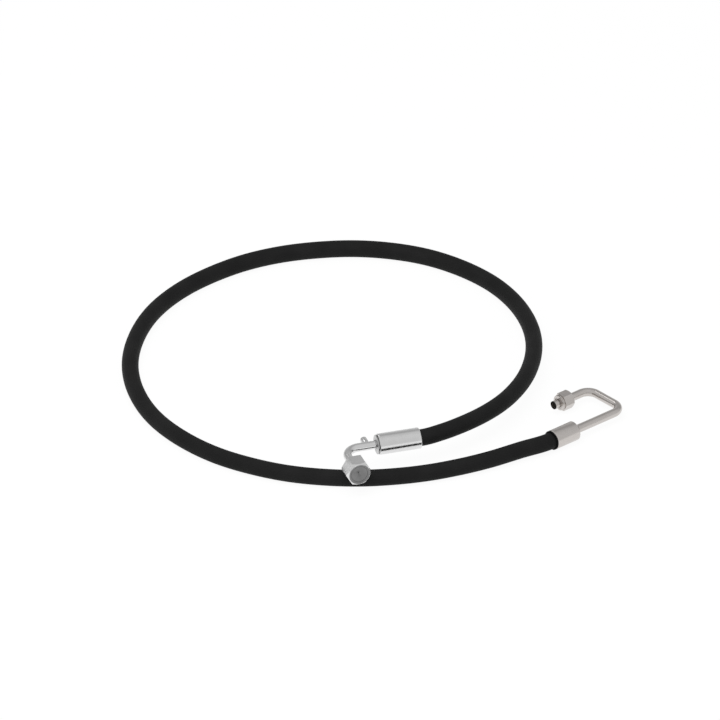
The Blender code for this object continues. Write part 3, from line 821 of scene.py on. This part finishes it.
tube_place = level_frame(tube_mouth, tube_axis)
tube_end = TUBE_FERRULE_LENGTH
tube_shell = lathe("tube_shell", [
    (FERRULE_BORE, 0), (TUBE_FERRULE_RADIUS - TUBE_MOUTH_EDGE, 0),
    (TUBE_FERRULE_RADIUS, TUBE_MOUTH_EDGE), (TUBE_FERRULE_RADIUS, tube_end - TUBE_FAR_EDGE),
    (TUBE_FERRULE_RADIUS - TUBE_FAR_EDGE, tube_end), (LIP_RADIUS, tube_end),
    (LIP_RADIUS, tube_end - TUBE_LIP), (FERRULE_BORE, tube_end - TUBE_LIP),
], ease=0.15)
lay_in_place(tube_shell, tube_place)
dress(tube_shell, nickel_turned, "assembly", "nickel_plated_steel", "tube_ferrule")

tube_insert = insert_end("tube_insert", tube_end, TUBE_LIP)
lay_in_place(tube_insert, tube_place)
dress(tube_insert, nickel_turned, "assembly", "nickel_plated_steel", "tube_stem")

# %% Mouth ring
RING_RADIUS = 11.5
RING_START = -2.3
RING_END = -0.3
RING_EDGE = 0.3

mouth_ring = lathe("hose_mouth_ring", [
    (FERRULE_BORE, RING_START), (FERRULE_BORE, RING_END), (RING_RADIUS, RING_END),
    (RING_RADIUS, RING_START + RING_EDGE), (RING_RADIUS - RING_EDGE, RING_START),
], ease=0.1)
lay_in_place(mouth_ring, tube_place)
dress(mouth_ring, ring_rubber, "assembly", "cover_rubber", "mouth_ring")

# %% [markdown]
# ## Bent tube, tip ring and sleeve
# The second tube is bent twice so that it comes back beside its own ferrule. Its bore is bare drawn
# steel, darker and browner than the plate as painted shade inside the bore. A black ring covers its
# open tip, and a sleeve fixed on it takes the push of the nut.

# %% Bent tube
TIP_RING_LENGTH = 0.9

tube_start = tube_mouth + tube_axis * (tube_end - TUBE_DEPTH) * MM
bent_pipe, bent_rings = bend_tube("bent_pipe", tube_start, tube_axis, TUBE_BEND_RADIUS, [
    (TUBE_DEPTH + TUBE_STRAIGHT, FIRST_BEND),
    (BACK_STRAIGHT, SECOND_BEND),
    (RETURN_STRAIGHT - TIP_RING_LENGTH, 0.0),
])
# The second finish, on the bore, is bare steel darker and browner than the plate: painted shade inside
# the bore.
bent_pipe.data.materials.append(nickel_drawn)
bent_pipe.data.materials.append(bare_bore_and_painted_shade)
finish_tube(bent_pipe, bent_rings)
dress(bent_pipe, nickel_drawn, "assembly", "nickel_plated_steel", "bent_tube")

# %% Tip ring
TIP_RING_EDGE = 0.3
BORE_RADIUS = TUBE_RADIUS - TUBE_WALL

tip_place = level_frame(tip_front, -tip_facing)
tip_ring = lathe("tube_tip_ring", [
    (BORE_RADIUS, 0), (TUBE_RADIUS - TIP_RING_EDGE, 0), (TUBE_RADIUS, TIP_RING_EDGE),
    (TUBE_RADIUS, TIP_RING_LENGTH), (BORE_RADIUS, TIP_RING_LENGTH),
], ease=0.15)
lay_in_place(tip_ring, tip_place)
dress(tip_ring, ring_rubber, "assembly", "cover_rubber", "tip_seal")

# %% Sleeve
SLEEVE_RADIUS = 6.1
SLEEVE_BORE = 5.05
SLEEVE_START = 8.4
SLEEVE_END = 13.2

nut_sleeve = lathe("nut_sleeve", [
    (SLEEVE_BORE, SLEEVE_START), (SLEEVE_BORE, SLEEVE_END),
    (SLEEVE_RADIUS, SLEEVE_END), (SLEEVE_RADIUS, SLEEVE_START),
], ease=0.15)
lay_in_place(nut_sleeve, tip_place)
dress(nut_sleeve, nickel_turned, "assembly", "nickel_plated_steel", "thrust_sleeve")

# %% [markdown]
# ## Tube nut
# The small nut has a hexagon, an undercut and a short male thread that screws into the port and pushes
# the tip of the tube onto its seat.

# %% Tube nut
TUBE_NUT_FLATS = 19.5
NUT_FRONT = 8.1
THREAD_RADIUS = 9.1
ROOT_RADIUS = 8.8
COUNTERBORE = 6.45
THREAD_START = 8.4
THREAD_END = 10.7
HEX_FRONT = 11.2
HEX_EDGE = 0.8
HEX_BACK = 24.4
HEX_FACE_SHARE = 0.95
HEX_CHAMFER = math.radians(30.0)
SLEEVE_FLOOR = 13.5
THREAD_RUN_OUT = 0.2
TUBE_THREAD_DEPTH = 0.2

face = HEX_FACE_SHARE * TUBE_NUT_FLATS / 2
past = past_corners(TUBE_NUT_FLATS)
run = (past - face) * math.tan(HEX_CHAMFER)
tube_nut = lathe("hex_tube_nut", [
    (ROOT_RADIUS, NUT_FRONT), *thread_stops(THREAD_RADIUS, THREAD_START, THREAD_END),
    (ROOT_RADIUS, THREAD_END + THREAD_RUN_OUT), (ROOT_RADIUS, HEX_FRONT),
    (past - HEX_EDGE, HEX_FRONT), (past, HEX_FRONT + HEX_EDGE), (past, HEX_BACK - run),
    (face, HEX_BACK), (SOCKET_RADIUS, HEX_BACK), (SOCKET_RADIUS, SLEEVE_FLOOR),
    (COUNTERBORE, SLEEVE_FLOOR), (COUNTERBORE, NUT_FRONT),
], ease=0)
cut_thread(tube_nut, THREAD_RADIUS, THREAD_START, THREAD_END, TUBE_THREAD_DEPTH)
mill_flats(tube_nut, TUBE_NUT_FLATS, NUT_FRONT, HEX_BACK)
lay_in_place(tube_nut, tip_place, NUT_SMOOTH_DEGREES)
dress(tube_nut, nickel_turned, "pipe_nut", "nickel_plated_steel", "tube_nut")

# %% [markdown]
# ## Floor
# The picture is a plain white studio shot. The floor is a very large white disc, a hair below the
# object. Seen by the camera or in the metal it glows at a strength of one, which is white, and a small
# part of it stays lit by the lamps so that the object keeps a faint shadow.

# %% Floor
FLOOR_RADIUS = 12.0
FLOOR_DROP = 0.0002
FLOOR_GLOW = 0.94

start_fresh()
bpy.ops.mesh.primitive_circle_add(
    vertices=96, radius=FLOOR_RADIUS, fill_type="NGON", location=(0, 0, -FLOOR_DROP)
)
floor = bpy.context.object
floor.name = "studio_floor"
paper = bpy.data.materials.new("white_studio_paper")
paper.use_nodes = True
tree = paper.node_tree
lit = tree.nodes["Principled BSDF"]
lit.inputs["Base Color"].default_value = linear("#f4f4f4")
lit.inputs["Roughness"].default_value = 1.0
lit.inputs["Specular IOR Level"].default_value = 0.0
glow = add_node(tree, "ShaderNodeEmission", {"Color": linear("#ffffff"), "Strength": 1.0})
ray = add_node(tree, "ShaderNodeLightPath")
seen = add_node(
    tree, "ShaderNodeMath", {"operation": "MAXIMUM"},
    {0: ray.outputs["Is Camera Ray"], 1: ray.outputs["Is Glossy Ray"]},
)
shown = add_node(
    tree, "ShaderNodeMath", {"operation": "MAXIMUM"},
    {0: seen.outputs["Value"], 1: ray.outputs["Is Transmission Ray"]},
)
share = add_node(
    tree, "ShaderNodeMath", {"operation": "MULTIPLY", 1: FLOOR_GLOW}, {0: shown.outputs["Value"]}
)
blend = add_node(
    tree, "ShaderNodeMixShader", None,
    {"Fac": share.outputs["Value"], 1: lit.outputs["BSDF"], 2: glow.outputs["Emission"]},
)
tree.links.new(blend.outputs["Shader"], tree.nodes["Material Output"].inputs["Surface"])
floor.data.materials.append(paper)
print("floor of", FLOOR_RADIUS, "m")

# %% [markdown]
# ## Room and lamps
# The room is a soft light grey, bright in front and overhead, darker high up behind the object, and that
# slow change is what shapes the steel. Below the floor it is white, which only shows in low views whose
# lower edge looks under the disc. A large softbox overhead gives the soft shadow and is kept out of
# reflections. A small weak one, behind on the left, does show in the steel as a narrow highlight.

# %% Room
ROOM_LEVELS = (
    (-1.00, 0.56), (-0.98, 0.66), (-0.85, 0.72), (-0.25, 0.75), (0.00, 0.72), (0.39, 0.64),
    (0.60, 0.48), (0.74, 0.42), (0.86, 0.50), (0.98, 0.64), (1.00, 0.68),
)
UNDER_FLOOR = (1.0, 1.0, 1.0, 1.0)

world = bpy.data.worlds.new("studio_room")
bpy.context.scene.world = world
world.use_nodes = True
tree = world.node_tree
direction = add_node(tree, "ShaderNodeTexCoord")
parts = add_node(
    tree, "ShaderNodeSeparateXYZ", None, {"Vector": direction.outputs["Generated"]}
)
depth = add_node(
    tree, "ShaderNodeMapRange", {"From Min": -1.0, "From Max": 1.0}, {"Value": parts.outputs["Y"]}
)
level = add_node(tree, "ShaderNodeValToRGB", None, {"Fac": depth.outputs["Result"]})
stops = level.color_ramp.elements
while len(stops) < len(ROOM_LEVELS):
    stops.new(0.5)
for stop, (toward_back, brightness) in zip(stops, ROOM_LEVELS):
    stop.position = (toward_back + 1) / 2
    stop.color = (brightness, brightness, brightness, 1.0)
under = add_node(
    tree, "ShaderNodeMath", {"operation": "LESS_THAN", 1: 0.0}, {0: parts.outputs["Z"]}
)
shade = add_node(
    tree, "ShaderNodeMix", {"data_type": "RGBA", 7: UNDER_FLOOR},
    {0: under.outputs["Value"], 6: level.outputs["Color"]},
)
room = tree.nodes["Background"]
room.inputs["Strength"].default_value = 1.0
tree.links.new(shade.outputs[2], room.inputs["Color"])
print("room of", len(ROOM_LEVELS), "levels from front to back")

# %% Lamps
TOP_PLACE = (-0.6, -0.8, 2.6)
TOP_SIZE = 2.4
TOP_WATTS = 60.0
ACCENT_PLACE = (-1.19, 1.45, 1.89)
ACCENT_SIZE = 0.7
ACCENT_WATTS = 2.4


def softbox(name, place, size, watts, in_reflections):
    """A square lamp that faces the middle of the object."""
    start_fresh()
    aim = VIEW_CENTRE - Vector(place)
    bpy.ops.object.light_add(
        type="AREA", location=place, rotation=aim.to_track_quat("-Z", "Y").to_euler()
    )
    lamp = bpy.context.object
    lamp.name = name
    lamp.data.shape = "SQUARE"
    lamp.data.size = size
    lamp.data.energy = watts
    lamp.visible_glossy = in_reflections
    return lamp


top_lamp = softbox("top_softbox", TOP_PLACE, TOP_SIZE, TOP_WATTS, in_reflections=False)
accent_lamp = softbox("accent_softbox", ACCENT_PLACE, ACCENT_SIZE, ACCENT_WATTS, in_reflections=True)
bpy.context.scene.view_settings.view_transform = "Standard"
print("lamps:", top_lamp.name, "and", accent_lamp.name)
